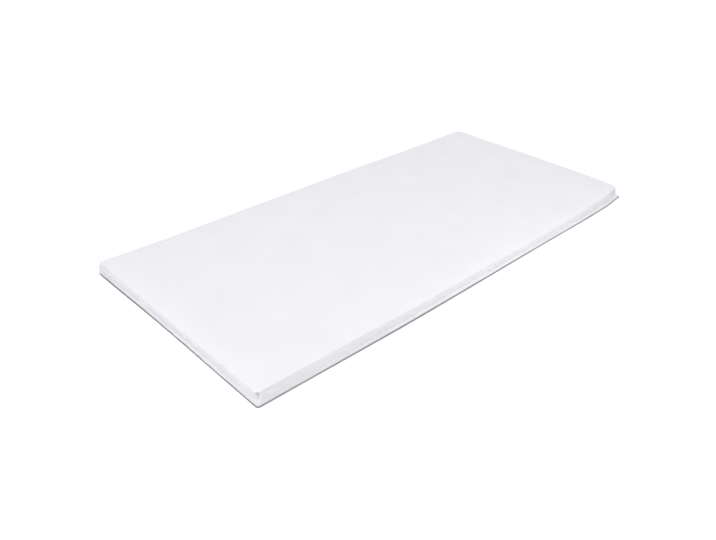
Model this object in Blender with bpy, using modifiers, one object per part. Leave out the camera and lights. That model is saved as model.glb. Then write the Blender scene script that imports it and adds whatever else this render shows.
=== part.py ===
"""Mattress topper: a thin filled pad in a plain white cover, closed underneath by a grey base cloth.

Metres, +Z up. X runs along the length and Y across the width. The origin is at the middle of the
underside, which lies flat on whatever carries the topper. The cover's top panel turns down over
the sides and is pinched into a short upright seam at each corner. The base cloth is sewn to the
sides all round, and its sewn edge stands out as a narrow lip.
"""
from collections import namedtuple
import math

import bmesh
import bpy
from mathutils import Vector

# Driving sizes of the topper
LENGTH = 1.900
WIDTH = 0.900
EDGE_HEIGHT = 0.052
CROWN = 0.005
BASE_THICKNESS = 0.002
SEWN_GAP = 0.0003

# Where the cage has its loops: close together at the edges, where the cover rolls over
LOOPS_IN_FROM_EDGE = (0.006, 0.015, 0.028, 0.050, 0.085)
WALL_LOOPS = (0.12, 0.34, 0.62, 0.86)
LENGTH_BAYS = 11
WIDTH_BAYS = 5

# How far in from an edge its own shape is still felt
SPREAD = 0.16
CROWN_FLATNESS = 4
FOOT_CREASE = 0.55

# The upright seam at a corner: how far its draw is felt, and the share of the wall's height
# where it is deepest
SEAM_REACH = 0.020
SEAM_PEAK = 0.70

# Sections along one side. along runs from -1 to 1 towards +X or +Y. out is how far the foot of
# the wall stands out, waist how far the wall is drawn in above its foot, or bulges where it is
# negative, lean how much further in the wall's top lies than its foot, roll how wide the top edge
# rolls over, drop how much it sinks there, and lip how far the base cloth stands out.
Section = namedtuple("Section", "along out waist lean roll drop lip")

NEAR_LONG_SIDE = (
    Section(-1.00, -0.0055, 0.001, 0.000, 0.020, 0.001, 0.0025),
    Section(-0.85, -0.0035, 0.001, 0.000, 0.020, 0.001, 0.0020),
    Section(-0.60, 0.002, 0.002, 0.000, 0.030, 0.002, 0.0020),
    Section(-0.38, 0.003, 0.004, 0.000, 0.045, 0.003, 0.0035),
    Section(-0.08, 0.002, 0.004, 0.000, 0.050, 0.003, 0.0030),
    Section(0.25, 0.000, 0.003, 0.000, 0.050, 0.004, 0.0020),
    Section(0.60, 0.000, 0.004, 0.001, 0.055, 0.005, 0.0020),
    Section(0.80, 0.000, 0.003, 0.005, 0.045, 0.004, 0.0020),
    Section(0.91, -0.0045, 0.003, 0.010, 0.035, 0.003, 0.0020),
    Section(0.96, -0.0130, 0.003, 0.009, 0.030, 0.002, 0.0020),
    Section(1.00, -0.0175, 0.002, 0.007, 0.025, 0.002, 0.0025),
)
NEAR_SHORT_SIDE = (
    Section(-1.00, 0.003, 0.002, 0.000, 0.040, 0.004, 0.0015),
    Section(-0.65, 0.001, 0.003, 0.000, 0.055, 0.006, 0.0020),
    Section(0.10, -0.002, 0.004, 0.000, 0.060, 0.007, 0.0030),
    Section(0.75, 0.002, 0.001, 0.000, 0.050, 0.005, 0.0036),
    Section(1.00, 0.0035, 0.000, 0.0015, 0.030, 0.002, 0.0025),
)
FAR_LONG_SIDE = (
    Section(-1.00, 0.0020, 0.000, 0.000, 0.030, 0.001, 0.0025),
    Section(-0.93, -0.0020, 0.001, 0.000, 0.035, 0.002, 0.0025),
    Section(-0.80, -0.006, 0.003, 0.000, 0.040, 0.004, 0.0025),
    Section(-0.45, -0.001, 0.003, 0.000, 0.040, 0.003, 0.0020),
    Section(0.15, 0.003, 0.003, 0.000, 0.045, 0.002, 0.0048),
    Section(0.60, 0.000, 0.004, 0.000, 0.050, 0.003, 0.0025),
    Section(1.00, 0.000, 0.003, 0.000, 0.050, 0.002, 0.0025),
)
FAR_SHORT_SIDE = (
    Section(-1.00, -0.004, 0.002, 0.004, 0.040, 0.003, 0.0025),
    Section(-0.60, 0.003, 0.004, 0.002, 0.050, 0.004, 0.0025),
    Section(0.20, -0.001, 0.004, 0.000, 0.045, 0.003, 0.0025),
    Section(1.00, -0.002, 0.003, 0.000, 0.045, 0.003, 0.0025),
)

# A side of the plan: its outward direction, half the topper's size that way, and its sections
Side = namedtuple("Side", "outward half sections")

SIDES = (
    Side(Vector((0, -1, 0)), WIDTH / 2, NEAR_LONG_SIDE),
    Side(Vector((0, 1, 0)), WIDTH / 2, FAR_LONG_SIDE),
    Side(Vector((-1, 0, 0)), LENGTH / 2, NEAR_SHORT_SIDE),
    Side(Vector((1, 0, 0)), LENGTH / 2, FAR_SHORT_SIDE),
)

# A corner of the plan, by the signs of its x and y. foot_round and top_round are its radii at the
# foot and on top, belly how far it bulges out low on its wall, drop how much its top sinks, tongue
# how much further the base cloth stands out under it, reach how far these three are felt, and
# seam how deep its upright seam draws the cover in.
Corner = namedtuple("Corner", "x_sign y_sign foot_round top_round belly drop tongue reach seam")

CORNERS = (
    Corner(-1, -1, 0.012, 0.014, 0.000, 0.002, 0.001, 0.06, 0.0035),
    Corner(1, -1, 0.013, 0.021, 0.000, 0.005, 0.0015, 0.10, 0.0045),
    Corner(-1, 1, 0.007, 0.007, 0.007, -0.002, 0.000, 0.10, 0.0000),
    Corner(1, 1, 0.014, 0.018, 0.000, -0.001, 0.000, 0.08, 0.0035),
)

# Looks
COVER_WHITE = (0.86, 0.86, 0.89, 1.0)
BASE_GREY = (0.30, 0.30, 0.32, 1.0)
CLOTH_ROUGHNESS = 0.9


def clear_scene():
    for old in list(bpy.data.objects):
        bpy.data.objects.remove(old, do_unlink=True)


def cloth_material(name, colour):
    material = bpy.data.materials.new(name)
    material.use_nodes = True
    shader = material.node_tree.nodes["Principled BSDF"]
    shader.inputs["Base Color"].default_value = colour
    shader.inputs["Roughness"].default_value = CLOTH_ROUGHNESS
    shader.inputs["Metallic"].default_value = 0.0
    return material


def between(sections, along):
    """The section at that share of a side, eased from one row of its table to the next."""
    along = max(sections[0].along, min(sections[-1].along, along))
    for low, high in zip(sections, sections[1:]):
        if along <= high.along:
            step = (along - low.along) / (high.along - low.along)
            ease = step * step * (3 - 2 * step)
            return Section(*(a + (b - a) * ease for a, b in zip(low, high)))


def fading(distance, reach):
    """1 at no distance, falling smoothly to 0 at reach."""
    return max(0.0, 1 - distance / reach) ** 2


def section_near(side, point):
    """The side's section beside a point, and how far in from that side the point lies."""
    inward = side.half - point.dot(side.outward)
    if side.outward.x:
        return between(side.sections, 2 * point.y / WIDTH), inward
    return between(side.sections, 2 * point.x / LENGTH), inward


def rounded_at(corner, point, radius):
    """The point moved so that the plan's sharp corner becomes an arc of that radius."""
    start_x, start_y = LENGTH / 2 - radius, WIDTH / 2 - radius
    across = (corner.x_sign * point.x - start_x) / radius
    along = (corner.y_sign * point.y - start_y) / radius
    if across <= 0 or along <= 0:
        return point.copy()
    round_x = start_x + radius * across * math.sqrt(1 - along * along / 2)
    round_y = start_y + radius * along * math.sqrt(1 - across * across / 2)
    return Vector((corner.x_sign * round_x, corner.y_sign * round_y, point.z))


def from_tip(corner, point):
    """The distance from a corner's sharp tip in plan, and the direction away from the middle."""
    tip = Vector((corner.x_sign * LENGTH / 2, corner.y_sign * WIDTH / 2))
    away = Vector((corner.x_sign, corner.y_sign, 0)).normalized()
    return (tip - point.xy).length, away


def crown_at(point):
    """The rise of the filled top: flat over most of it, and nothing at its edges."""
    along = abs(2 * point.x / LENGTH) ** CROWN_FLATNESS
    across = abs(2 * point.y / WIDTH) ** CROWN_FLATNESS
    return CROWN * (1 - along) * (1 - across)


def pad_point(point, rise):
    """Where the cover holds a point of the plain box; rise runs from 0 at the foot to 1 on top."""
    moved = point.copy()
    for corner in CORNERS:
        radius = corner.foot_round + (corner.top_round - corner.foot_round) * rise
        moved = rounded_at(corner, moved, radius)
    for side in SIDES:
        section, inward = section_near(side, point)
        drawn_in = section.waist * math.sin(math.pi * rise)
        drawn_in += section.lean * rise
        moved += side.outward * (section.out - drawn_in) * fading(inward, SPREAD)
        moved.z -= section.drop * rise * fading(inward, section.roll)
    for corner in CORNERS:
        distance, away = from_tip(corner, point)
        bulge = corner.belly * math.sin(math.pi * math.sqrt(rise))
        moved += away * bulge * fading(distance, corner.reach)
        moved.z -= corner.drop * rise * fading(distance, corner.reach)
        moved -= away * corner.seam * seam_share(rise) * fading(distance, SEAM_REACH)
    moved.z += crown_at(point) * rise
    return moved


def seam_share(rise):
    """The share of its depth that a corner's seam reaches, most a little below the top."""
    if rise < SEAM_PEAK:
        return math.sin(math.pi / 2 * rise / SEAM_PEAK)
    return math.cos(math.pi / 4 * (rise - SEAM_PEAK) / (1 - SEAM_PEAK))


def base_point(point):
    """Where a point of the base cloth lies: under the foot of the walls, and a lip beyond them."""
    moved = point.copy()
    for corner in CORNERS:
        moved = rounded_at(corner, moved, corner.foot_round)
    for side in SIDES:
        section, inward = section_near(side, point)
        moved += side.outward * (section.out + section.lip) * fading(inward, SPREAD)
    for corner in CORNERS:
        distance, away = from_tip(corner, point)
        moved += away * corner.tongue * fading(distance, corner.reach)
    return moved


def loops_across(size, bays):
    """Where the cage is cut across one of its sizes: close to both edges, and evenly between."""
    half = size / 2
    inner = half - LOOPS_IN_FROM_EDGE[-1]
    near_edges = [half - inward for inward in LOOPS_IN_FROM_EDGE[:-1]]
    between_them = [-inner + 2 * inner * bay / bays for bay in range(bays + 1)]
    return [-at for at in near_edges] + between_them + near_edges


def cut_at(mesh, at, normal):
    """One loop of edges round the mesh where a plane crosses it."""
    geometry = mesh.verts[:] + mesh.edges[:] + mesh.faces[:]
    bmesh.ops.bisect_plane(mesh, geom=geometry, plane_co=at * normal, plane_no=normal)


def cut_plan_loops(mesh):
    for x in loops_across(LENGTH, LENGTH_BAYS):
        cut_at(mesh, x, Vector((1, 0, 0)))
    for y in loops_across(WIDTH, WIDTH_BAYS):
        cut_at(mesh, y, Vector((0, 1, 0)))


def add_object(name, mesh, collection, material):
    data = bpy.data.meshes.new(name)
    mesh.to_mesh(data)
    mesh.free()
    data.materials.append(material)
    data.shade_smooth()
    built = bpy.data.objects.new(name, data)
    collection.objects.link(built)
    return built


def smooth(piece):
    """Rounds a piece's cage, one level, the same on screen and in a render."""
    rounding = piece.modifiers.new("Smooth", "SUBSURF")
    rounding.levels = rounding.render_levels = 1


def crease_foot(mesh, foot):
    """Keeps the edge where the walls meet the base tight when the cage is smoothed."""
    crease = mesh.edges.layers.float.new("crease_edge")
    for edge in mesh.edges:
        on_foot = all(abs(vert.co.z - foot) < SEWN_GAP for vert in edge.verts)
        flat = sum(abs(face.normal.z) > 0.5 for face in edge.link_faces)
        if on_foot and flat == 1:
            edge[crease] = FOOT_CREASE


def build_pad(collection, material):
    """The filled body in its cover, from a box cut into a cage, shaped and then smoothed."""
    foot = BASE_THICKNESS + SEWN_GAP
    height = EDGE_HEIGHT - foot
    mesh = bmesh.new()
    bmesh.ops.create_cube(mesh, size=1.0)
    bmesh.ops.scale(mesh, vec=(LENGTH, WIDTH, height), verts=mesh.verts)
    bmesh.ops.translate(mesh, vec=(0, 0, foot + height / 2), verts=mesh.verts)
    cut_plan_loops(mesh)
    for share in WALL_LOOPS:
        cut_at(mesh, foot + share * height, Vector((0, 0, 1)))
    mesh.normal_update()
    crease_foot(mesh, foot)
    for vert in mesh.verts:
        rise = max(0.0, min(1.0, (vert.co.z - foot) / height))
        vert.co = pad_point(vert.co, rise)
    pad = add_object("topper_pad", mesh, collection, material)
    smooth(pad)
    return pad


def build_base_cloth(collection, material):
    """The flat cloth under the pad, with its sewn edge standing out all round."""
    mesh = bmesh.new()
    bmesh.ops.create_grid(mesh, x_segments=1, y_segments=1, size=0.5)
    bmesh.ops.scale(mesh, vec=(LENGTH, WIDTH, 1), verts=mesh.verts)
    cut_plan_loops(mesh)
    for vert in mesh.verts:
        vert.co = base_point(vert.co)
    base = add_object("base_cloth", mesh, collection, material)
    smooth(base)
    thicken = base.modifiers.new("Thickness", "SOLIDIFY")
    thicken.thickness = BASE_THICKNESS
    thicken.offset = 1.0
    return base


def centre_on_origin(leader, others):
    """Shifts the pieces so that the leader's plan is centred on the origin."""
    corners = [vert.co for vert in leader.data.vertices]
    middle_x = (max(co.x for co in corners) + min(co.x for co in corners)) / 2
    middle_y = (max(co.y for co in corners) + min(co.y for co in corners)) / 2
    for piece in (leader, *others):
        for vert in piece.data.vertices:
            vert.co -= Vector((middle_x, middle_y, 0))


def main():
    clear_scene()
    topper = bpy.data.collections.new("MattressTopper")
    bpy.context.scene.collection.children.link(topper)
    pad = build_pad(topper, cloth_material("cover_white", COVER_WHITE))
    base = build_base_cloth(topper, cloth_material("base_grey", BASE_GREY))
    centre_on_origin(base, [pad])


main()
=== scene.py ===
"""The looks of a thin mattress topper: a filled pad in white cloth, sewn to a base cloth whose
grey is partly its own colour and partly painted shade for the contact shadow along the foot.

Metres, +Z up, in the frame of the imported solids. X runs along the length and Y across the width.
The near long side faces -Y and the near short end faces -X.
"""
from collections import namedtuple
import math

import bmesh
import bpy
from bpy.props import FloatProperty, FloatVectorProperty, PointerProperty
from mathutils import Matrix, Vector, noise
from mathutils.bvhtree import BVHTree
from mathutils.kdtree import KDTree


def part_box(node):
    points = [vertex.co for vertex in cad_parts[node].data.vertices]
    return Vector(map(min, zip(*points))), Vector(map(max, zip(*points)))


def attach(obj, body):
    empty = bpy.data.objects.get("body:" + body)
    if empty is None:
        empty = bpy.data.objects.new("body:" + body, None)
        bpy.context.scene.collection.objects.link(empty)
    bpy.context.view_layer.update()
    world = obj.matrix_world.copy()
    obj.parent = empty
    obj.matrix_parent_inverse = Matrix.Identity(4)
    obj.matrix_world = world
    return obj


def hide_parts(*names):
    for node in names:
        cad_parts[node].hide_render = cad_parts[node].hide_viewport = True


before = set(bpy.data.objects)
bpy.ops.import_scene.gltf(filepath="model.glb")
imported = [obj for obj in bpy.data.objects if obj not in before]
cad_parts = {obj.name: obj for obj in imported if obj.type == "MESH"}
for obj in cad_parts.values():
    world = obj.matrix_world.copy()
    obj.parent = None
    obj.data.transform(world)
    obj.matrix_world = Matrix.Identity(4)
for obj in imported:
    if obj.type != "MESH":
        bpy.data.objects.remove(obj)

bl_info = {
    "name": "Mattress Topper",
    "version": (1, 0, 0),
    "blender": (4, 5, 0),
    "location": "3D View > Sidebar > Topper",
    "description": "Makes a thin filled mattress topper with its sewn edges, cloth and stage",
    "category": "Object",
}

UP = Vector((0, 0, 1))
SMALL = 0.0001
TOUCHING = 0.00001

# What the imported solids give
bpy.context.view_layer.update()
PAD_LOW, PAD_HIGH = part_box("topper_pad")
BASE_LOW, BASE_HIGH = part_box("base_cloth")
FOOT = PAD_LOW.z

# The cages: how far in from an edge their loops lie, where the cover rolls over, and the heights
# of the loops round the pad's walls as shares of the wall. The lowest one is the stitched line.
LOOPS_FROM_EDGE = (
    0.0008, 0.0019, 0.0032, 0.0050, 0.0075, 0.0110, 0.0155, 0.0210, 0.0280, 0.0360, 0.0460,
    0.0580, 0.0720, 0.0870)
WALL_SHARES = (0.05, 0.11, 0.18, 0.26, 0.35, 0.45, 0.56, 0.67, 0.77, 0.86, 0.94)
EDGE_DROP = 0.007

# How the outline of a solid is felt: how far its sides' shape reaches in, where a side counts as
# straight, how far outside the lines start, the radius of an arc for the gap at its tip, and the
# heights of the pad's foot and shoulder
SPREAD = 0.16
STRAIGHT_FROM_CORNER = 0.03
FAR_OUT = 0.20
RADIUS_PER_GAP = 1 / (math.sqrt(2) - 1)
SMALLEST_RADIUS = 0.002
FOOT_LEVEL = 0.003
SHOULDER_LEVEL = 0.044

SIDES = (Vector((0, -1, 0)), Vector((-1, 0, 0)), Vector((0, 1, 0)), Vector((1, 0, 0)))

# Which faces and edges are cut finer on the walls, by the upward share of a face's normal and the
# rise of an edge, and how often; and how near the foot a point is drawn down to it
WALL_STEEPNESS = 0.6
LEVEL_WITHIN = 0.2
WALL_CUTS = 2
NEAR_FOOT = 0.0004

# The rows of points between the rim's edges, as shares of half its thickness up and down; how
# much its edges are rounded, and from how far outside it is felt
RIM_ROWS = (-0.6, 0.0, 0.6)
RIM_ROUND = 0.0004
RIM_FELT_FROM = 0.004

# The sewing: where along a stitch's half its end begins and how far it tapers, the share of its
# radius that it lies outside the cloth, how flat the loops round the rim are and how far in
STITCH_END = 0.62
STITCH_TAPER = 0.4
THREAD_OUT = 0.6
LOOP_FLATNESS = 0.60
LOOP_IN = 0.8

# The upright seam at each corner, by the signs of its x and y: how deep its sewn line lies, then
# how wide the line is and how far from it the seam is felt
SEAM_DEPTHS = {(-1, -1): 0.0013, (1, -1): 0.0012, (-1, 1): 0.0010, (1, 1): 0.0011}
SEAM_LINE_WIDTH = 0.0009
SEAM_FELT = 0.020

# Where a seam draws the cover in: how deep and wide, at what height, and how far up and down
Pinch = namedtuple("Pinch", "x_sign y_sign depth width level spread")

PINCHES = (
    Pinch(-1, -1, 0.0102, 0.0040, 0.0352, 0.0070),
    Pinch(-1, -1, 0.0046, 0.0038, 0.0215, 0.0085),
    Pinch(1, -1, 0.0010, 0.0080, 0.0310, 0.0110),
    Pinch(-1, 1, 0.0012, 0.0050, 0.0400, 0.0070),
    Pinch(1, 1, 0.0040, 0.0060, 0.0390, 0.0090),
)

# The swelling: its steps, the height up to which the foot is sewn down, the height over which the
# cover comes free above it, and where the filling starts to hold it on top and over what height
SWELL_STEPS = 20
SEWN_HEIGHT = 0.001
FREE_OVER = 0.010
HELD_FROM = 0.040
HELD_OVER = 0.006

# How firmly the filling holds the cover on top, and how firmly and widely the corner seams hold it
FIRMNESS = 0.55
SEAM_FIRMNESS = 0.9
SEAM_FIRM_WIDTH = 0.004

# The pressed forms: the height over which they start above the foot, the least share of a face's
# turn to a side that counts, and the widths of the roll, the groove and the bulge round the foot
FORMS_OVER = 0.003
FACES_LEAST = 0.004
ROLL_WIDTH = 0.0042
GROOVE_WIDTH = 0.0038
BULGE_WIDTH = 0.0055

# How far from its start a fold or a pull is looked at, and at what share of its length it is
# strongest and how far it fades from there
FOLD_FELT = 0.2
FOLD_MIDDLE = FOLD_FADE = 0.45
PULL_FELT = 0.12
PULL_MIDDLE = 0.5
PULL_FADE = 0.34

# How many times a metre the unevenness of each part changes, and by what share it changes the part
ROLL_CHANGES, ROLL_CHANGE = 38.0, 0.45
BULGE_CHANGES, BULGE_CHANGE = 14.0, 0.60
BROAD_CHANGES, CLOSE_CHANGES, CLOSE_CHANGE = 4.5, 13.0, 0.45
FIRMNESS_CHANGES, FIRMNESS_CHANGE = 9.0, 0.30
RIM_CHANGES = 45.0

# The cloths: how much a thread dips under its neighbours, thick places along and across a thread,
# patches and crinkles, how much the patches and the weave show in the tone, the weave's part being
# painted shade where threads dip, and depths of bump
THREAD_DIP = (0.4, 0.6)
SLUBS_PER_METRE = (11, 420)
PATCHES_PER_METRE = 7.0
CRINKLES_PER_METRE = 90.0
PATCH_TONE = 0.8
WEAVE_TONE = 0.35
CRINKLE_DEPTH = 0.0005
THREAD_DEPTH = 0.00022

# The plies of the sewing thread: how close, how dark the painted shade between them, and how deep
PLIES_PER_METRE = 420.0
PLY_SHADE = 0.72
PLY_DEPTH = 0.00005


def metres(millimetres):
    """A size or a place that is written in millimetres."""
    if isinstance(millimetres, tuple):
        return Vector(millimetres) / 1000
    return millimetres / 1000


def table(kind, *rows):
    """Named rows in metres, from rows written in millimetres."""
    return tuple(kind(*map(metres, row)) for row in rows)


# Soft ridges, and troughs where height is negative, from one point near the cover to another
Fold = namedtuple("Fold", "start end width height")

FOLDS = table(
    Fold,
    # the crest that runs in from the right-hand corner, the scoop below it, and a lower ridge
    ((932, -424, 49), (820, -438, 50), 6.0, 4.2),
    ((925, -402, 51), (840, -418, 52), 8.0, -2.4),
    ((935, -430, 37), (860, -436, 38), 7.8, -9.5),
    ((936, -432, 24), (880, -436, 25), 8.0, -5.8),
    ((895, -437, 18), (830, -443, 21), 3.5, 2.2),
    ((915, -434, 27), (850, -440, 30), 3.0, 1.8),
    # an upright fold beside the near corner, and a pull on top that starts at its seam
    ((-951, -414, 32), (-951, -415, 12), 4.0, -3.0),
    ((-951, -423, 34), (-951, -424, 14), 3.8, 2.2),
    ((-944, -437, 49), (-905, -410, 50), 6.0, -1.6),
    ((-936, -446, 40), (-880, -447, 30), 6.0, -2.6),
    ((-930, -446, 24), (-880, -447, 16), 4.0, 1.8),
    # at the left-hand corner: the crest of the top's edge, and hollows on the wall below it
    ((-949, 430, 48), (-948, 380, 49), 4.2, 2.6),
    ((-952, 436, 38), (-951, 380, 36), 6.0, -5.0),
    ((-953, 438, 26), (-953, 360, 22), 3.4, 1.6),
    ((-953, 438, 17), (-953, 390, 14), 3.5, -2.4),
    ((-946, 436, 48), (-905, 410, 50), 7.0, -1.4),
    # on top at the far corner
    ((944, 440, 48), (905, 405, 50), 7.0, -1.6),
)

# Slanted pulls of the cover on its walls, in the order of SIDES. Each starts high at a place along
# the wall, and runs on while it drops. lift is negative for a trough.
Pull = namedtuple("Pull", "along high run drop width lift")

WALL_PULLS = (
    table(
        Pull,
        (-930, 36, 14, 18, 3.4, -2.4), (-905, 34, 24, 16, 3.9, 2.4), (-860, 30, 31, 18, 3.4, 2.0),
        (-815, 34, 22, 14, 3.9, -2.0), (-770, 33, 19, 21, 3.4, 2.4), (-705, 24, 24, 16, 2.9, 2.4),
        (-655, 36, 36, 23, 3.4, 2.0), (-590, 28, 22, 11, 3.4, 2.4), (-550, 27, 31, 16, 3.4, 2.8),
        (-520, 46, 31, 30, 2.9, 2.4), (-490, 43, 19, 28, 2.9, 2.4), (-465, 44, 17, 11, 2.9, -2.4),
        (-430, 26, 22, 11, 2.9, 3.2), (-400, 46, 72, 37, 3.9, 2.4), (-340, 38, 24, 21, 3.4, -2.4),
        (-275, 47, 31, 28, 3.4, 2.8), (-230, 32, 36, 14, 2.9, 2.4), (-185, 44, 19, 11, 2.9, 2.8),
        (-150, 36, 36, 21, 3.4, 3.2), (-110, 43, 41, 28, 3.4, 3.2), (-72, 50, 29, 14, 2.9, 2.0),
        (-35, 42, 17, 14, 2.9, -2.8), (0, 38, 66, 28, 3.4, 3.4), (50, 37, 36, 22, 2.9, 3.2),
        (100, 32, 53, 21, 2.9, 3.2), (145, 46, 31, 23, 3.9, -2.8), (195, 45, 36, 16, 2.9, 4.5),
        (240, 49, 41, 34, 3.4, 2.8), (285, 30, 24, 14, 2.9, 2.4), (320, 30, 34, 21, 3.4, 2.8),
        (385, 50, 96, 46, 3.4, 2.8), (440, 44, 36, 25, 3.4, -2.4), (500, 34, 41, 25, 3.4, 3.4),
        (570, 34, 36, 25, 3.4, 3.2), (625, 34, 26, 14, 3.4, 2.4), (675, 34, 43, 28, 3.4, 3.4),
        (717, 34, 22, 11, 2.9, 2.8), (765, 46, 62, 25, 3.4, 4.7), (822, 31, 17, 11, 3.4, 4.7),
    ),
    table(
        Pull,
        (-395, 40, 19, 16, 3.4, 2.8), (-350, 34, 22, 21, 3.4, -2.4), (-290, 46, 31, 23, 3.4, -2.4),
        (-220, 48, 22, 16, 2.9, 3.2), (-173, 52, 17, 18, 2.9, 2.8), (-138, 28, 17, 11, 2.9, 2.8),
        (-97, 32, 17, 13, 2.9, 3.2), (-50, 40, 24, 16, 2.9, 2.8), (4, 36, 34, 18, 3.4, 3.2),
        (60, 42, 19, 11, 3.4, 2.4), (80, 30, 22, 14, 2.9, 2.8), (132, 36, 31, 20, 3.4, 3.2),
        (175, 34, 29, 18, 3.4, -2.4), (220, 28, 26, 14, 2.9, 2.8), (280, 32, 31, 15, 3.4, 3.2),
        (332, 47, 66, 31, 3.9, 3.9), (395, 34, 19, 14, 3.4, -2.4),
    ),
    table(
        Pull,
        (-900, 38, 36, 18, 3.4, 2.4), (-790, 34, 29, 16, 3.4, 2.4), (-680, 44, 48, 28, 3.9, 2.8),
        (-560, 30, 26, 16, 2.9, 2.4), (-470, 46, 41, 23, 3.4, -2.4), (-330, 36, 34, 18, 3.4, 3.2),
        (-215, 42, 55, 28, 3.9, 2.8), (-90, 30, 24, 14, 2.9, 2.8), (30, 46, 36, 21, 3.4, 2.8),
        (160, 34, 43, 21, 3.4, 3.2), (290, 40, 29, 16, 3.4, -2.4), (400, 32, 36, 18, 3.4, 2.4),
        (530, 44, 48, 30, 3.9, 3.2), (660, 30, 26, 14, 2.9, 2.8), (770, 42, 43, 23, 3.4, 2.8),
        (880, 34, 24, 16, 3.4, -2.4),
    ),
    table(
        Pull,
        (-370, 36, 29, 16, 3.4, 2.8), (-270, 44, 36, 25, 3.4, 2.4), (-180, 30, 22, 14, 2.9, 2.8),
        (-70, 40, 41, 23, 3.9, 2.8), (50, 34, 26, 14, 2.9, -2.4), (150, 46, 43, 28, 3.4, 3.2),
        (270, 32, 24, 16, 3.4, 2.8), (370, 40, 29, 18, 3.4, 2.4),
    ),
)

# How strongly the rolled seam stands out, by places along each side
ROLL_SHARES = (
    ((-0.94, 0.2), (-0.80, 0.1), (-0.60, 0.3), (-0.45, 0.7), (-0.20, 1.0), (0.12, 1.3),
     (0.24, 0.9), (0.34, 0.5), (0.50, 0.5), (0.62, 0.8), (0.80, 0.9), (0.88, 0.6), (0.94, 0.2)),
    ((-0.44, 0.3), (-0.36, 0.6), (-0.26, 1.3), (0.00, 1.4), (0.15, 1.0), (0.25, 1.2),
     (0.42, 0.7)),
    ((-0.94, 0.6), (-0.50, 1.1), (0.00, 0.7), (0.40, 1.2), (0.94, 0.8)),
    ((-0.44, 0.9), (-0.10, 0.6), (0.20, 1.1), (0.44, 0.7)),
)

# How far the base cloth's rim is drawn in under the pad, by places along the two near sides
RIM_DRAWN_IN = (
    ((-0.95, 0.0), (-0.85, 0.0002), (-0.75, 0.0006), (-0.55, 0.0006), (-0.45, 0.0),
     (0.40, 0.0), (0.55, 0.0007), (0.85, 0.0008), (0.95, 0.0003)),
    ((-0.45, 0.0020), (-0.36, 0.0017), (-0.25, 0.0006), (-0.15, 0.0), (0.45, 0.0)),
)


def cloth_colour(name, description, default):
    return FloatVectorProperty(
        name=name, description=description, subtype="COLOR", size=3, default=default,
        min=0.0, max=1.0)


def number(name, description, default, **kind):
    return FloatProperty(name=name, description=description, default=default, **kind)


def length(name, description, default):
    return number(name, description, default, unit="LENGTH")


class TopperPadSizes(bpy.types.PropertyGroup):
    """Sizes of the padded body"""
    bay: length("Bay", "Widest bay between two loops of the cage", 0.020)
    wall_bay: length("Wall bay", "Widest face along the walls, where the folds are", 0.0045)
    start_inside: length("Start inside", "How much smaller the pad is before it swells", 0.0025)
    pressure: number("Pressure", "How hard the filling presses the cover out", 4.0)
    most_swell: length("Most swell", "The furthest that a point of the cover may move", 0.0032)
    roll_height: length("Roll height", "Height of the rolled seam round the foot", 0.0108)
    roll_out: length("Roll out", "How far the rolled seam stands out", 0.0030)
    groove_height: length("Groove height", "Height of the groove above the rolled seam", 0.0195)
    groove_depth: length("Groove depth", "Depth of the groove above the rolled seam", 0.0020)
    bulge_height: length("Bulge height", "Height of the soft bulge above the groove", 0.0265)
    bulge_out: length("Bulge out", "How far the soft bulge stands out", 0.0008)
    unevenness: length("Unevenness", "How far the filled cover is out of true", 0.0009)


class TopperEdgeSizes(bpy.types.PropertyGroup):
    """Sizes of the base cloth and of the sewing"""
    bay: length("Bay", "Widest bay between two loops of the base cloth", 0.030)
    rim_thickness: length("Rim thickness", "Thickness of the base cloth at its rim", 0.0014)
    rim_middle: length("Rim middle", "Height of the middle of the base cloth's rim", 0.0012)
    waviness: length("Waviness", "How far the rim wanders in and out", 0.0004)
    stitch_pitch: length("Stitch pitch", "Distance from one stitch to the next", 0.0040)
    stitch_length: length("Stitch length", "Length of the thread that shows in a stitch", 0.0031)
    thread_radius: length("Thread radius", "Radius of the sewing thread", 0.00028)
    stitch_sink: length("Stitch sink", "How far a stitch's ends turn into the cloth", 0.0005)
    edge_pitch: length("Edge pitch", "Distance from one edge stitch to the next", 0.0032)
    edge_reach: length("Edge reach", "How far an edge stitch reaches in and out", 0.0013)
    edge_thread_radius: length("Edge thread radius", "Radius of the edge thread", 0.00024)
    edge_slant: number("Edge slant", "How far an edge stitch leans along the rim", 0.45)


class TopperFinish(bpy.types.PropertyGroup):
    """Colours and weaves"""
    cover: cloth_colour("Cover", "Colour of the white cover", (0.769, 0.767, 0.803))
    # Painted shade between the threads, and the darker end of the cloth's random patches
    cover_patches_and_shade: cloth_colour("Cover shade", "The cover between threads", (0.699, 0.697, 0.738))
    # Partly the base cloth's own grey, partly painted shade for the contact shadow at the foot
    base: cloth_colour("Base cloth", "Colour of the grey base cloth", (0.360, 0.360, 0.375))
    # Painted shade between the threads, and the darker end of the cloth's random patches
    base_patches_and_shade: cloth_colour("Base shade", "The base cloth between threads", (0.260, 0.260, 0.275))
    cover_thread: cloth_colour("Cover thread", "Colour of foot stitches", (0.800, 0.800, 0.815))
    # Partly the edge thread's own grey, partly painted shade for the contact shadow at the foot
    edge_thread: cloth_colour("Edge thread", "Colour of the edge stitches", (0.330, 0.330, 0.345))
    floor: cloth_colour("Floor", "Colour of the pale floor", (0.950, 0.950, 0.950))
    threads: number("Threads", "Threads in one metre of the cover", 1200.0)
    base_threads: number("Base threads", "Threads in one metre of the base cloth", 900.0)


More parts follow.
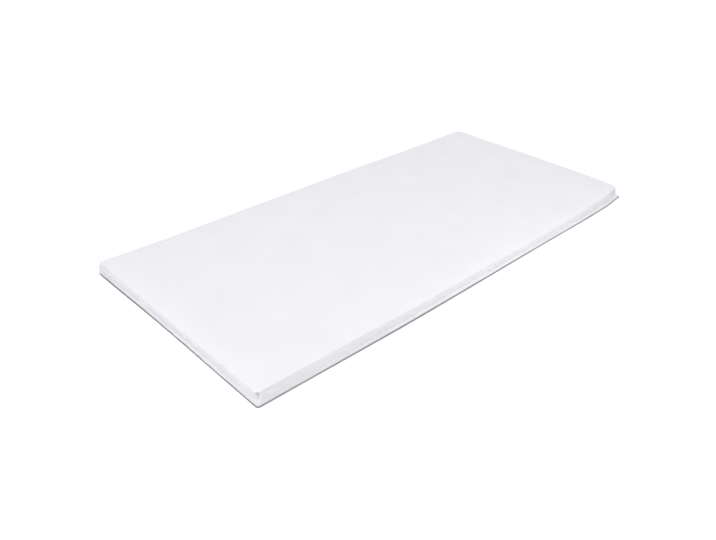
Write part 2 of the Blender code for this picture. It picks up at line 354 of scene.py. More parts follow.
class TopperStage(bpy.types.PropertyGroup):
    """The view and the light"""
    eye: FloatVectorProperty(
        name="Eye", description="Where the camera stands", subtype="TRANSLATION", size=3,
        default=(-1.7041, -1.5936, 1.2636))
    azimuth: number(
        "Azimuth", "The way the camera faces, from +X towards +Y", math.radians(46.037),
        subtype="ANGLE")
    dip: number("Dip", "How far the camera looks down", math.radians(31.693), subtype="ANGLE")
    tilt: number("Tilt", "How far the camera leans sideways", math.radians(0.984), subtype="ANGLE")
    lens: number("Lens", "Focal length in millimetres", 34.83)
    sky: number("Sky", "Strength of the even light", 0.25)
    backdrop: number("Backdrop", "How bright the backdrop shows", 1.05)
    overhead: number("Overhead", "Strength of the wide soft light overhead", 2.10)
    near_left: number("Near left", "Strength of the high soft light at the near left", 0.60)
    front: number("Front", "Power of the softbox before the long side", 10.6)
    near_side: number("Near side", "Power of the low softbox at the long side", 1.0)
    near_end: number("Near end", "Power of the low softbox at the short end", 12.4)


def fading(distance, reach):
    """1 at no distance, falling smoothly to 0 at reach."""
    return max(0.0, 1 - distance / reach) ** 2


def bell(distance, width):
    """1 at no distance, falling off on both sides over the width."""
    return math.exp(-(distance / width) ** 2)


def ramp(distance, over=1.0):
    """0 at no distance, rising evenly to 1."""
    return max(0.0, min(1.0, distance / over))


def nearest_on(point, start, run):
    """The share of a line's run that lies nearest to a point, and how far off the point is."""
    share = ramp((point - start).dot(run) / run.length_squared)
    return share, (point - start - run * share).length


def read_off(rows, along):
    """The value at a place along a side, eased between a table's rows."""
    low = rows[0]
    for high in rows:
        if along <= high[0]:
            step = (along - low[0]) / (high[0] - low[0]) if high[0] > low[0] else 1.0
            step = max(0.0, step)
            return low[1] + (high[1] - low[1]) * step * step * (3 - 2 * step)
        low = high
    return low[1]


def along_side(outward, point):
    return point.x if outward.y else point.y


def select_only(piece):
    bpy.ops.object.select_all(action="DESELECT")
    piece.select_set(True)
    bpy.context.view_layer.objects.active = piece


def edit(piece):
    """Opens a piece, and no other, in edit mode."""
    select_only(piece)
    bpy.ops.object.mode_set(mode="EDIT")


def select_parts(piece, kind, chosen):
    """Selects, in edit mode, just the vertices, edges or faces that a test picks."""
    bpy.ops.mesh.select_mode(type=kind)
    bpy.ops.mesh.select_all(action="DESELECT")
    mesh = bmesh.from_edit_mesh(piece.data)
    for part in {"VERT": mesh.verts, "EDGE": mesh.edges, "FACE": mesh.faces}[kind]:
        part.select = chosen(part)
    if kind == "VERT":
        mesh.select_flush_mode()
    bmesh.update_edit_mesh(piece.data)


def started(name):
    """The primitive just added, named, with its place, turn and scale put in its mesh."""
    piece = bpy.context.object
    piece.name = piece.data.name = name
    bpy.ops.object.transform_apply(location=True, rotation=True, scale=True)
    return piece


def start_box(name, low, high):
    """A box between two corners, to be cut and shaped into a piece."""
    bpy.ops.object.select_all(action="DESELECT")
    bpy.ops.mesh.primitive_cube_add(size=1, location=(low + high) / 2)
    bpy.context.object.scale = high - low
    return started(name)


def loop_places(half, bay):
    """Places of the loops across a size: close together at both edges, even in between."""
    inner = half - LOOPS_FROM_EDGE[-1]
    bays = math.ceil(2 * inner / bay)
    even = [-inner + 2 * inner * step / bays for step in range(bays + 1)]
    edge = [half - inward for inward in LOOPS_FROM_EDGE[:-1]]
    return [-place for place in edge] + even + edge


def cut_loops(axis, places):
    """Cuts a loop round the piece in edit mode at each place along an axis."""
    for place in places:
        bpy.ops.mesh.select_all(action="SELECT")
        bpy.ops.mesh.bisect(plane_co=axis * place, plane_no=axis)


def cut_cage(piece, half_length, half_width, bay, heights=()):
    """Cuts the loops of a box along its length, its width and its height."""
    edit(piece)
    cut_loops(Vector((1, 0, 0)), loop_places(half_length, bay))
    cut_loops(Vector((0, 1, 0)), loop_places(half_width, bay))
    cut_loops(UP, heights)
    bpy.ops.object.mode_set(mode="OBJECT")


def apply_modifier(piece, kind, **settings):
    modifier = piece.modifiers.new(kind.title(), kind)
    for setting, value in settings.items():
        setattr(modifier, setting, value)
    select_only(piece)
    bpy.ops.object.modifier_apply(modifier=modifier.name)


def finish_piece(piece, material, slot, *replaced):
    """Dresses a finished piece, hangs it on the body and hides the solids it replaces."""
    piece.data.materials.clear()
    piece.data.materials.append(material)
    select_only(piece)
    bpy.ops.object.shade_smooth()
    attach(piece, "root")
    if replaced:
        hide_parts(*replaced)


def mark_line(piece, line, chosen):
    """Marks vertices of a cage as a line that later steps find again."""
    group = piece.vertex_groups.new(name=line)
    group.add([vert.index for vert in chosen], 1.0, "REPLACE")


def on_line(piece, line):
    """The vertices of a marked line, as smoothing has left it."""
    group = piece.vertex_groups[line].index
    return [
        vert for vert in piece.data.vertices
        if any(mark.group == group and mark.weight > 0.99 for mark in vert.groups)]


def tree_of(vertices):
    tree = KDTree(len(vertices))
    for index, vert in enumerate(vertices):
        tree.insert(vert.co, index)
    tree.balance()
    return tree


class Plan:
    """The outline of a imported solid, felt along straight lines from outside."""

    def __init__(self, node):
        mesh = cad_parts[node].data
        self.tree = BVHTree.FromPolygons(
            [vert.co for vert in mesh.vertices], [face.vertices for face in mesh.polygons])
        low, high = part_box(node)
        self.half_length = (high.x - low.x) / 2
        self.half_width = (high.y - low.y) / 2
        self.known = {}

    def half(self, outward):
        return self.half_length if outward.x else self.half_width

    def felt(self, start, outward):
        return self.tree.ray_cast(start + outward * (1 + FAR_OUT), -outward)[0]

    def sides_met(self, point):
        """How many upright sides of the box a point lies on: two where they meet."""
        gaps = (self.half_length - abs(point.x), self.half_width - abs(point.y))
        return sum(gap < SMALL for gap in gaps)

    def side_at(self, outward, point, level):
        """The reach of a side beside a point; past the straight part it stays as it is there."""
        across = Vector((abs(outward.y), abs(outward.x), 0))
        limit = self.half(across) - STRAIGHT_FROM_CORNER
        along = max(-limit, min(limit, point.dot(across)))
        key = (tuple(outward), round(along, 5), round(level, 4))
        if key not in self.known:
            start = across * along + UP * level
            self.known[key] = self.felt(start, outward).dot(outward)
        return self.known[key]

    def corner_radius(self, x_sign, y_sign, level):
        """The radius of a corner, from the gap between its sharp tip and the solid."""
        across = Vector((x_sign, 0, 0))
        along = Vector((0, y_sign, 0))
        tip = across * self.side_at(across, along, level)
        tip += along * self.side_at(along, across, level)
        tip.z = level
        away = (across + along).normalized()
        return max(SMALLEST_RADIUS, (tip - self.felt(tip, away)).length * RADIUS_PER_GAP)

    def rounded(self, point, x_sign, y_sign, radius):
        """The point moved so that a sharp corner of the plan becomes an arc."""
        start_x = self.half_length - radius
        start_y = self.half_width - radius
        across = (x_sign * point.x - start_x) / radius
        along = (y_sign * point.y - start_y) / radius
        if across <= 0 or along <= 0:
            return point
        return Vector((
            x_sign * (start_x + radius * across * math.sqrt(1 - along * along / 2)),
            y_sign * (start_y + radius * along * math.sqrt(1 - across * across / 2)),
            point.z))

    def fit(self, piece, low, high):
        """Draws a box in to the outline at each height, from the foot's to the shoulder's."""
        radii = {
            corner: (self.corner_radius(*corner, low), self.corner_radius(*corner, high))
            for corner in SEAM_DEPTHS}
        for vert in piece.data.vertices:
            point = vert.co.copy()
            rise = ramp(point.z - low, max(high - low, SMALL))
            moved = point
            for corner, (at_foot, at_shoulder) in radii.items():
                moved = self.rounded(moved, *corner, at_foot + (at_shoulder - at_foot) * rise)
            level = max(low, min(high, point.z))
            for outward in SIDES:
                off = self.side_at(outward, point, level) - self.half(outward)
                inward = self.half(outward) - point.dot(outward)
                moved = moved + outward * off * fading(inward, SPREAD)
            vert.co = moved


def is_diagonal(edge):
    """Whether an edge is the longest of each triangle beside it."""
    return all(
        edge.calc_length() >= max(side.calc_length() for side in face.edges)
        for face in edge.link_faces)


def smooth_copy(node):
    """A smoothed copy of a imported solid, for a cage to be wrapped onto."""
    copy = bpy.data.objects.new("Smoothed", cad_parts[node].data.copy())
    bpy.context.scene.collection.objects.link(copy)
    edit(copy)
    bpy.ops.mesh.select_all(action="SELECT")
    bpy.ops.mesh.remove_doubles(threshold=TOUCHING)
    select_parts(copy, "EDGE", is_diagonal)
    bpy.ops.mesh.dissolve_edges(use_verts=False)
    bpy.ops.object.mode_set(mode="OBJECT")
    apply_modifier(copy, "SUBSURF", levels=2, render_levels=2)
    return copy


def lay_out_pattern(piece, top):
    """Draws the cover's cut pattern: its top panel, with the sides folded out flat beside it."""
    pattern = piece.data.uv_layers[0]
    pattern.name = "CutPattern"
    for face in piece.data.polygons:
        for corner in face.loop_indices:
            place = piece.data.vertices[piece.data.loops[corner].vertex_index].co
            folded = place + face.normal * (top - place.z)
            pattern.data[corner].uv = folded.xy


def hold_cover(piece):
    """How firmly the cover is held: sewn down at its foot, and by the filling on top."""
    held = piece.vertex_groups.new(name="held")
    seams = tree_of(on_line(piece, "corner_seams"))
    for vert in piece.data.vertices:
        point = vert.co
        firmness = FIRMNESS + FIRMNESS_CHANGE * noise.noise(point * FIRMNESS_CHANGES)
        on_top = firmness * ramp(point.z - HELD_FROM, HELD_OVER)
        weight = 1.0 if point.z < FOOT + SEWN_HEIGHT else on_top
        at_seam = SEAM_FIRMNESS * bell(seams.find(point)[2], SEAM_FIRM_WIDTH)
        held.add([vert.index], max(weight, at_seam), "REPLACE")


def swell(piece, sizes):
    """Blows the cover out with cloth simulation, and caps how far each point moves."""
    before = [vert.co.copy() for vert in piece.data.vertices]
    hold_cover(piece)
    cloth = piece.modifiers.new("Cloth", "CLOTH")
    cloth.settings.vertex_group_mass = "held"
    cloth.settings.use_pressure = True
    cloth.settings.uniform_pressure_force = sizes.pressure
    cloth.settings.effector_weights.gravity = 0.0
    cloth.point_cache.frame_start = 1
    cloth.point_cache.frame_end = SWELL_STEPS
    for step in range(1, SWELL_STEPS + 1):
        bpy.context.scene.frame_set(step)
    select_only(piece)
    bpy.ops.object.modifier_apply(modifier=cloth.name)
    bpy.context.scene.frame_set(1)
    for vert, start in zip(piece.data.vertices, before):
        moved = vert.co - start
        moved.length = min(moved.length, sizes.most_swell)
        vert.co = start + moved


def shrink_before_swelling(piece, inside):
    """Takes the cover in a little everywhere above its sewn foot."""
    normals = [vert.normal.copy() for vert in piece.data.vertices]
    for vert, normal in zip(piece.data.vertices, normals):
        free = ramp(vert.co.z - FOOT - SEWN_HEIGHT, FREE_OVER)
        vert.co -= normal * inside * free


def seam_pull(point, to_seam):
    """How the upright seam of the nearest corner draws the cover in at a point."""
    if to_seam > SEAM_FELT:
        return Vector()
    corner = (1 if point.x > 0 else -1, 1 if point.y > 0 else -1)
    drawn = SEAM_DEPTHS[corner] * bell(to_seam, SEAM_LINE_WIDTH)
    for pinch in PINCHES:
        if (pinch.x_sign, pinch.y_sign) == corner:
            near = bell(to_seam, pinch.width) * bell(point.z - pinch.level, pinch.spread)
            drawn += pinch.depth * near
    return -Vector((*corner, 0)).normalized() * drawn


def fold_height(point):
    """How far the folds lift the cover at a point, or press it in."""
    height = 0.0
    for fold in FOLDS:
        if max(abs(point.x - fold.start.x), abs(point.y - fold.start.y)) > FOLD_FELT:
            continue
        share, aside = nearest_on(point, fold.start, fold.end - fold.start)
        if aside < 3 * fold.width:
            strength = bell(share - FOLD_MIDDLE, FOLD_FADE)
            height += fold.height * bell(aside, fold.width) * strength
    return height


def pull_lift(point, outward, pulls):
    """How far the slanted pulls of one wall lift the cover at a point."""
    lift = 0.0
    here = Vector((along_side(outward, point), point.z))
    for pull in pulls:
        if abs(here.x - pull.along) > PULL_FELT:
            continue
        start, run = Vector((pull.along, pull.high)), Vector((pull.run, -pull.drop))
        share, aside = nearest_on(here, start, run)
        lift += pull.lift * bell(aside, pull.width) * bell(share - PULL_MIDDLE, PULL_FADE)
    return lift


def foot_roll(point, share, sizes):
    """The rolled seam round the foot, with a groove and a soft bulge above it, all uneven."""
    place = point.xy.to_3d()
    uneven = share * (1 + ROLL_CHANGE * noise.noise(place * ROLL_CHANGES))
    slower = 1 + BULGE_CHANGE * noise.noise(place * BULGE_CHANGES + Vector((5.0, 0.0, 2.0)))
    roll = sizes.roll_out * bell(point.z - sizes.roll_height, ROLL_WIDTH)
    groove = sizes.groove_depth * bell(point.z - sizes.groove_height, GROOVE_WIDTH)
    bulge = sizes.bulge_out * bell(point.z - sizes.bulge_height, BULGE_WIDTH)
    return (roll - groove) * uneven + bulge * slower


def out_of_true(point, sizes):
    """The slow unevenness of the filling under the cover."""
    broad = noise.noise(point * BROAD_CHANGES + Vector((3.1, 0.0, 0.0)))
    close = noise.noise(point * CLOSE_CHANGES + Vector((0.0, 7.7, 0.0)))
    return sizes.unevenness * (broad + CLOSE_CHANGE * close)


def press_forms(piece, sizes):
    """Moves the points of the swelled pad into its seams, folds and unevenness."""
    seams = tree_of(on_line(piece, "corner_seams"))
    moves = []
    for vert in piece.data.vertices:
        point, normal = vert.co, vert.normal
        free = ramp(point.z - FOOT, FORMS_OVER)
        move = seam_pull(point, seams.find(point)[2])
        move += normal * (fold_height(point) + out_of_true(point, sizes))
        facing = [max(0.0, normal.dot(outward)) ** 2 for outward in SIDES]
        for faces, outward, pulls, shares in zip(facing, SIDES, WALL_PULLS, ROLL_SHARES):
            if faces > FACES_LEAST:
                share = read_off(shares, along_side(outward, point))
                out = foot_roll(point, share, sizes) + pull_lift(point, outward, pulls)
                move += outward * faces * out
        moves.append(move * free)
    for vert, move in zip(piece.data.vertices, moves):
        vert.co += move


def refine_walls(piece, wall_bay):
    """Cuts the long faces of the walls into short ones, fine enough for the folds."""
    def too_long(edge):
        first, second = (vert.co for vert in edge.verts)
        on_wall = any(abs(face.normal.z) < WALL_STEEPNESS for face in edge.link_faces)
        level = abs(first.z - second.z) < LEVEL_WITHIN * edge.calc_length()
        return on_wall and level and edge.calc_length() > wall_bay

    edit(piece)
    for _ in range(WALL_CUTS):
        select_parts(piece, "EDGE", too_long)
        bpy.ops.mesh.subdivide(number_cuts=1)
    bpy.ops.object.mode_set(mode="OBJECT")


def close_underside(piece):
    """Makes the flat underside one face, which lies hidden on the base cloth."""
    for vert in piece.data.vertices:
        if vert.co.z < FOOT + NEAR_FOOT:
            vert.co.z = FOOT
    edit(piece)
    select_parts(piece, "FACE", lambda face: all(v.co.z < FOOT + TOUCHING for v in face.verts))
    bpy.ops.mesh.dissolve_faces()
    bpy.ops.object.mode_set(mode="OBJECT")


class TOPPER_OT_padded_body(bpy.types.Operator):
    """Make the filled body in its white cover"""
    bl_idname = "topper.padded_body"
    bl_label = "Padded Body"

    def execute(self, context):
        sizes = context.scene.topper_pad
        plan = Plan("topper_pad")
        shoulder = PAD_HIGH.z - EDGE_DROP
        high = Vector((plan.half_length, plan.half_width, shoulder))
        low = Vector((-plan.half_length, -plan.half_width, FOOT))
        pad = start_box("padded_body", low, high)
        heights = [FOOT + share * (shoulder - FOOT) for share in WALL_SHARES]
        cut_cage(pad, plan.half_length, plan.half_width, sizes.bay, heights)
        lay_out_pattern(pad, shoulder)
        vertices = pad.data.vertices
        mark_line(pad, "stitch_line", [v for v in vertices if abs(v.co.z - heights[0]) < SMALL])
        mark_line(pad, "corner_seams", [v for v in vertices if plan.sides_met(v.co) == 2])
        plan.fit(pad, FOOT_LEVEL, SHOULDER_LEVEL)
        target = smooth_copy("topper_pad")
        apply_modifier(pad, "SHRINKWRAP", target=target, wrap_method="NEAREST_SURFACEPOINT")
        bpy.data.objects.remove(target)
        shrink_before_swelling(pad, sizes.start_inside)
        swell(pad, sizes)
        apply_modifier(pad, "SUBSURF", levels=1, render_levels=1)
        refine_walls(pad, sizes.wall_bay)
        press_forms(pad, sizes)
        close_underside(pad)
        finish_piece(pad, cover_cloth(context.scene.topper_finish), "cover", "topper_pad")
        return {"FINISHED"}


class TOPPER_OT_base_cloth(bpy.types.Operator):
    """Make the flat base cloth with its thin, slightly wavy rim"""
    bl_idname = "topper.base_cloth"
    bl_label = "Base Cloth"

    def execute(self, context):
        sizes = context.scene.topper_edge
        middle = (BASE_LOW.z + BASE_HIGH.z) / 2
        half = (BASE_HIGH.z - BASE_LOW.z) / 2
        plan = Plan("base_cloth")
        low = Vector((-plan.half_length, -plan.half_width, BASE_LOW.z))
        high = Vector((plan.half_length, plan.half_width, BASE_HIGH.z))
        sheet = start_box("base_cloth_sheet", low, high)
        rows = [middle + share * half for share in RIM_ROWS]
        cut_cage(sheet, plan.half_length, plan.half_width, sizes.bay, rows)
        vertices = sheet.data.vertices
        rim = [vert for vert in vertices if plan.sides_met(vert.co)]
        mark_line(sheet, "rim_line", [v for v in rim if abs(v.co.z - middle) < SMALL])
        plan.fit(sheet, middle, middle)
        turned_out = [vert.normal.xy.to_3d().normalized() for vert in rim]
        for vert, away in zip(rim, turned_out):
            share = (vert.co.z - middle) / half
            outside = Vector((vert.co.x, vert.co.y, middle)) + away * RIM_FELT_FROM
            edge = plan.tree.find_nearest(outside)[0]
            wave = sizes.waviness * noise.noise(edge * RIM_CHANGES)
            edge += away * (wave - RIM_ROUND * share ** 2)
            for outward, drawn_in in zip(SIDES, RIM_DRAWN_IN):
                faces = max(0.0, away.dot(outward)) ** 2
                edge -= outward * faces * read_off(drawn_in, along_side(outward, edge))
            edge.z = sizes.rim_middle + share * sizes.rim_thickness / 2
            vert.co = edge
        finish_piece(sheet, base_cloth(context.scene.topper_finish), "base_cloth", "base_cloth")
        return {"FINISHED"}


def sewing_path(piece, line):
    """A closed curve along a marked line, and which way along Y a stitch on it goes inwards."""
    marked = {vert.index for vert in on_line(piece, line)}
    edit(piece)
    select_parts(piece, "VERT", lambda vert: vert.index in marked)
    bpy.ops.mesh.duplicate()
    bpy.ops.mesh.separate(type="SELECTED")
    bpy.ops.object.mode_set(mode="OBJECT")
    path = next(made for made in bpy.context.selected_objects if made is not piece)
    select_only(path)
    bpy.ops.object.convert(target="CURVE")
    path.data.twist_mode = "Z_UP"
    corners = [point.co for point in path.data.splines[0].points]
    area = sum(a.x * b.y - b.x * a.y for a, b in zip(corners, corners[1:] + corners[:1]))
    return path, 1 if area > 0 else -1


def short_stitch(name, sizes, inward):
    """One short stitch along X, its ends tapered and turned into the cloth."""
    half = sizes.stitch_length / 2
    bpy.ops.object.select_all(action="DESELECT")
    bpy.ops.mesh.primitive_cylinder_add(
        vertices=6, radius=sizes.thread_radius, depth=2 * half, rotation=(0, math.pi / 2, 0))
    stitch = started(name)
    edit(stitch)
    cut_loops(Vector((1, 0, 0)), (-STITCH_END * half, 0.0, STITCH_END * half))
    bpy.ops.object.mode_set(mode="OBJECT")
    for vert in stitch.data.vertices:
        share = abs(vert.co.x) / half
        vert.co.y *= 1 - STITCH_TAPER * share ** 3
        vert.co.z *= 1 - STITCH_TAPER * share ** 3
        vert.co.y += inward * (sizes.stitch_sink * share ** 2 - THREAD_OUT * sizes.thread_radius)
    return stitch


def edge_loop(name, sizes, inward):
    """One slanted loop of thread round the rim."""
    bpy.ops.object.select_all(action="DESELECT")
    bpy.ops.mesh.primitive_torus_add(
        major_segments=10, minor_segments=4, major_radius=sizes.edge_reach,
        minor_radius=sizes.edge_thread_radius, rotation=(0, math.pi / 2, 0))
    ring = started(name)
    for vert in ring.data.vertices:
        vert.co.z *= LOOP_FLATNESS
        vert.co.x += sizes.edge_slant * vert.co.y
        vert.co.y += inward * LOOP_IN * sizes.edge_reach
    return ring


def sew(name, shape, sizes, pitch, piece, line):
    """Repeats a stitch along the whole of a piece's marked line."""
    path, inward = sewing_path(bpy.data.objects[piece], line)
    stitches = shape(name, sizes, inward)
    around = path.data.splines[0].calc_length()
    count = round(around / pitch)
    apply_modifier(
        stitches, "ARRAY", fit_type="FIXED_COUNT", count=count, use_relative_offset=False,
        use_constant_offset=True, constant_offset_displace=(around / count, 0, 0))
    apply_modifier(stitches, "CURVE", object=path, deform_axis="POS_X")
    bpy.data.objects.remove(path)
    return stitches


class TOPPER_OT_stitches(bpy.types.Operator):
    """Sew the cover to the base cloth, and sew over the base cloth's rim"""
    bl_idname = "topper.stitches"
    bl_label = "Stitches"

    def execute(self, context):
        sizes = context.scene.topper_edge
        finish = context.scene.topper_finish
        stitches = sew(
            "foot_stitches", short_stitch, sizes, sizes.stitch_pitch, "padded_body", "stitch_line")
        finish_piece(stitches, thread("white_thread", finish.cover_thread), "cover")
        loops = sew(
            "rim_stitches", edge_loop, sizes, sizes.edge_pitch, "base_cloth_sheet", "rim_line")
        finish_piece(loops, thread("grey_thread", finish.edge_thread), "base_cloth")
        return {"FINISHED"}


def set_inputs(tree, node, *inputs):
    """Sets inputs of a node to values, or joins them to the outputs of other nodes."""
    for label, value in inputs:
        if isinstance(value, bpy.types.NodeSocket):
            tree.links.new(value, node.inputs[label])
        else:
            node.inputs[label].default_value = value
    return node


def add_node(tree, kind, *inputs):
    return set_inputs(tree, tree.nodes.new("ShaderNode" + kind), *inputs)


def add_maths(tree, operation, *values):
    """A Math node on sockets or numbers; returns its result."""
    node = add_node(tree, "Math")
    node.operation = operation
    return set_inputs(tree, node, *enumerate(values)).outputs[0]


def add_mix(tree, kind, factor, first, second):
    """A Mix node on two numbers or colours; returns its result."""
    node = add_node(tree, "Mix")
    node.data_type = kind
    set_inputs(tree, node, ("Factor", factor), ("A", first), ("B", second))
    return node.outputs["Result"]


def add_noise(tree, vector, scale, detail=2.0):
    node = add_node(tree, "TexNoise", ("Scale", scale), ("Detail", detail), ("Vector", vector))
    return node.outputs[0]


def stretched(tree, vector, scale):
    return add_node(tree, "Mapping", ("Scale", scale), ("Vector", vector)).outputs[0]


def new_group(name, place, scale, usual, *outputs):
    """A node group that takes a place and a scale; returns it with its two end nodes."""
    group = bpy.data.node_groups.new(name, "ShaderNodeTree")
    group.interface.new_socket(name=place, in_out="INPUT", socket_type="NodeSocketVector")
    size = group.interface.new_socket(name=scale, in_out="INPUT", socket_type="NodeSocketFloat")
    size.default_value = usual
    for label in outputs:
        group.interface.new_socket(name=label, in_out="OUTPUT", socket_type="NodeSocketFloat")
    return group, group.nodes.new("NodeGroupInput"), group.nodes.new("NodeGroupOutput")


def plain_weave():
    """A plain weave: threads over and under each other, with thicker threads here and there."""
    if "Plain weave" in bpy.data.node_groups:
        return bpy.data.node_groups["Plain weave"]
    group, ins, outs = new_group(
        "Plain weave", "Cloth", "Threads per metre", 1000.0, "Height", "Tone")
    cloth = ins.outputs["Cloth"]
    scaled = add_node(group, "VectorMath")
    scaled.operation = "SCALE"
    set_inputs(group, scaled, (0, cloth), ("Scale", ins.outputs["Threads per metre"]))
    split = add_node(group, "SeparateXYZ", (0, scaled.outputs[0]))
    rounds = []
    for axis in ("X", "Y"):
        turn = add_maths(group, "MULTIPLY", split.outputs[axis], math.pi)
        rounds.append(add_maths(group, "ABSOLUTE", add_maths(group, "SINE", turn)))
    warp, weft = (
        add_maths(group, "MULTIPLY", own, add_maths(group, "MULTIPLY_ADD", other, *THREAD_DIP))
        for own, other in (rounds, rounds[::-1]))
    parity = add_node(group, "TexChecker", ("Scale", 1.0), ("Vector", scaled.outputs[0]))
    over = add_mix(group, "FLOAT", parity.outputs["Fac"], warp, weft)
    along, across = SLUBS_PER_METRE
    thick_warp = add_noise(group, stretched(group, cloth, (across, along, 1)), 1.0)
    thick_weft = add_noise(group, stretched(group, cloth, (along, across, 1)), 1.0)
    slubs = add_maths(group, "ADD", thick_warp, thick_weft)
    # Painted shade: the tone is darker where a thread dips and lighter where it lies over
    tone = add_maths(group, "MULTIPLY", slubs, over)
    set_inputs(group, outs, ("Height", over), ("Tone", tone))
    return group


def soft_mottling():
    """Slow changes of tone over a cloth, as handling and the filling below leave them."""
    if "Soft mottling" in bpy.data.node_groups:
        return bpy.data.node_groups["Soft mottling"]
    group, ins, outs = new_group(
        "Soft mottling", "Place", "Patches per metre", 8.0, "Tone", "Crinkle")
    place = ins.outputs["Place"]
    broad = add_noise(group, place, ins.outputs["Patches per metre"], 3.0)
    fine = add_noise(group, place, CRINKLES_PER_METRE, 4.0)
    set_inputs(group, outs, ("Tone", broad), ("Crinkle", fine))
    return group


def new_material(name):
    """A new material; returns it with its tree and its shader."""
    material = bpy.data.materials.new(name)
    material.use_nodes = True
    return material, material.node_tree, material.node_tree.nodes["Principled BSDF"]


def woven(name, colour, shade, threads, mapped):
    """A woven cloth: its weave and mottling drive colour, roughness and bump."""
    material, tree, shader = new_material(name)
    if mapped:
        place = add_node(tree, "UVMap")
        place.uv_map = "CutPattern"
        cloth = place.outputs["UV"]
    else:
        cloth = add_node(tree, "TexCoord").outputs["Object"]
    weave, mottling = add_node(tree, "Group"), add_node(tree, "Group")
    weave.node_tree = plain_weave()
    set_inputs(tree, weave, ("Threads per metre", threads), ("Cloth", cloth))
    mottling.node_tree = soft_mottling()
    set_inputs(tree, mottling, ("Patches per metre", PATCHES_PER_METRE), ("Place", cloth))
    patches = add_maths(tree, "MULTIPLY", mottling.outputs["Tone"], PATCH_TONE)
    # The weave's tone paints shade between the threads; the patches are random tone
    tone = add_maths(tree, "MULTIPLY_ADD", weave.outputs["Tone"], WEAVE_TONE, patches)
    rough = add_node(
        tree, "MapRange", ("To Min", 0.96), ("To Max", 0.82), ("Value", weave.outputs["Height"]))
    crinkle = add_node(
        tree, "Bump", ("Distance", CRINKLE_DEPTH), ("Strength", 0.6),
        ("Height", mottling.outputs["Crinkle"]))
    threads_up = add_node(
        tree, "Bump", ("Distance", THREAD_DEPTH), ("Strength", 0.5),
        ("Height", weave.outputs["Height"]), ("Normal", crinkle.outputs["Normal"]))
    set_inputs(
        tree, shader, ("Base Color", add_mix(tree, "RGBA", tone, (*shade, 1), (*colour, 1))),
        ("Roughness", rough.outputs["Result"]), ("Normal", threads_up.outputs["Normal"]),
        ("Sheen Weight", 0.10), ("Sheen Roughness", 0.5))
    return material


def cover_cloth(finish):
    return woven("cover_cloth", finish.cover, finish.cover_patches_and_shade, finish.threads, True)


def base_cloth(finish):
    # Its grey is partly painted shade for the contact shadow along the pad's foot
    return woven("base_cloth_weave", finish.base, finish.base_patches_and_shade, finish.base_threads, False)


def thread(name, colour):
    """Twisted sewing thread: slanted plies in height, with painted shade in the grooves between.
    """
    material, tree, shader = new_material(name)
    place = add_node(tree, "TexCoord").outputs["Object"]
    plies = add_node(
        tree, "TexWave", ("Scale", PLIES_PER_METRE), ("Distortion", 1.5), ("Vector", place))
    plies.bands_direction = "DIAGONAL"
    band = plies.outputs["Fac"]
    # Painted shade: darker in the grooves between the plies, where the bump is low
    ply_groove_shade = (*(PLY_SHADE * value for value in colour), 1)
    raised = add_node(tree, "Bump", ("Distance", PLY_DEPTH), ("Height", band))
    set_inputs(
        tree, shader, ("Base Color", add_mix(tree, "RGBA", band, ply_groove_shade, (*colour, 1))),
        ("Normal", raised.outputs["Normal"]), ("Roughness", 0.62), ("Sheen Weight", 0.15))
    return material


def floor_paint(finish):
    material, tree, shader = new_material("pale_floor")
    set_inputs(
        tree, shader, ("Base Color", (*finish.floor, 1)), ("Roughness", 0.95),
        ("Specular IOR Level", 0.1))
    return material


def studio_world(stage):
    """Even light from all round, that shows as a white backdrop behind the floor."""
    world = bpy.data.worlds.new("studio")
    world.use_nodes = True
    tree = world.node_tree
    seen = add_node(tree, "LightPath").outputs["Is Camera Ray"]
    strength = add_mix(tree, "FLOAT", seen, stage.sky, stage.backdrop)
    set_inputs(tree, tree.nodes["Background"], ("Color", (1, 1, 1, 1)), ("Strength", strength))
    return world


def add_lamp(kind, name, place, aim, strength):
    """A lamp at a place, turned to its aim."""
    bpy.ops.object.light_add(type=kind, location=place)
    lamp = bpy.context.object
    lamp.name = name
    lamp.rotation_euler = (Vector(place) - Vector(aim)).to_track_quat("Z", "Y").to_euler()
    lamp.data.energy = strength
    return lamp


def add_wide_light(name, towards, spread, strength):
    """Soft light of one strength everywhere, from a wide part of the sky."""
    lamp = add_lamp("SUN", name, towards, (0, 0, 0), strength)
    lamp.data.angle = math.radians(spread)


def add_softbox(name, place, aim, size, power):
    lamp = add_lamp("AREA", name, place, aim, power)
    lamp.data.shape = "DISK"
    lamp.data.size = size
    lamp.visible_camera = False


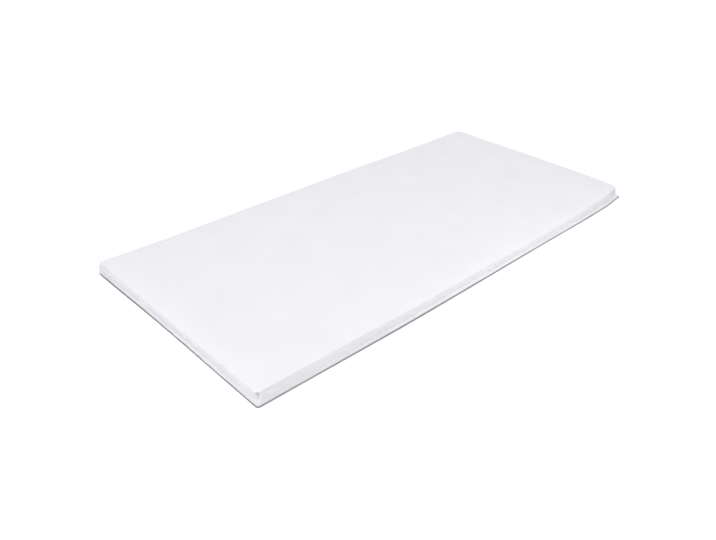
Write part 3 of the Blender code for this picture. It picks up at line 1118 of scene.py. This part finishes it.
class TOPPER_OT_stage(bpy.types.Operator):
    """Make the pale floor, the soft light and the camera"""
    bl_idname = "topper.stage"
    bl_label = "Stage"

    def execute(self, context):
        stage = context.scene.topper_stage
        bpy.ops.object.select_all(action="DESELECT")
        bpy.ops.mesh.primitive_plane_add(size=80)
        floor = context.object
        floor.name = "floor"
        floor.data.materials.append(floor_paint(context.scene.topper_finish))
        context.scene.world = studio_world(stage)
        add_wide_light("overhead_light", (0, 0, 1), 70, stage.overhead)
        add_wide_light("near_left_light", (-0.55, -0.45, 1.0), 60, stage.near_left)
        add_softbox("front_softbox", (-0.7, -1.9, 1.9), (-0.15, -0.2, 0), 1.8, stage.front)
        add_softbox(
            "near_side_softbox", (0.2, -1.15, 0.25), (0.2, -0.45, 0.02), 0.6, stage.near_side)
        add_softbox("near_end_softbox", (-3.2, -0.3, 0.65), (-0.9, 0, 0), 1.6, stage.near_end)
        bpy.ops.object.camera_add(location=stage.eye)
        camera = context.object
        camera.data.lens = stage.lens
        camera.data.sensor_width = 36.0
        turn = Matrix.Rotation(stage.azimuth - math.pi / 2, 3, "Z")
        turn = turn @ Matrix.Rotation(math.pi / 2 - stage.dip, 3, "X")
        turn = turn @ Matrix.Rotation(stage.tilt, 3, "Z")
        camera.rotation_euler = turn.to_euler()
        camera.data.clip_start = 0.05
        camera.data.clip_end = 200.0
        context.scene.camera = camera
        context.scene.view_settings.view_transform = "Standard"
        return {"FINISHED"}


class TOPPER_PT_panel(bpy.types.Panel):
    """The pieces of the topper and its stage"""
    bl_idname = "TOPPER_PT_panel"
    bl_label = "Mattress Topper"
    bl_space_type = "VIEW_3D"
    bl_region_type = "UI"
    bl_category = "Topper"

    def draw(self, context):
        for operator in OPERATORS:
            self.layout.operator(operator.bl_idname)


SETTINGS = {
    "topper_pad": TopperPadSizes,
    "topper_edge": TopperEdgeSizes,
    "topper_finish": TopperFinish,
    "topper_stage": TopperStage,
}
OPERATORS = (
    TOPPER_OT_padded_body, TOPPER_OT_base_cloth, TOPPER_OT_stitches, TOPPER_OT_stage)
CLASSES = (*SETTINGS.values(), *OPERATORS, TOPPER_PT_panel)


def register():
    for one in CLASSES:
        bpy.utils.register_class(one)
    for name, group in SETTINGS.items():
        setattr(bpy.types.Scene, name, PointerProperty(type=group))


def unregister():
    for name in SETTINGS:
        delattr(bpy.types.Scene, name)
    for one in reversed(CLASSES):
        bpy.utils.unregister_class(one)


def main():
    register()
    bpy.ops.topper.padded_body()
    bpy.ops.topper.base_cloth()
    bpy.ops.topper.stitches()
    bpy.ops.topper.stage()


if __name__ == "__main__":
    main()
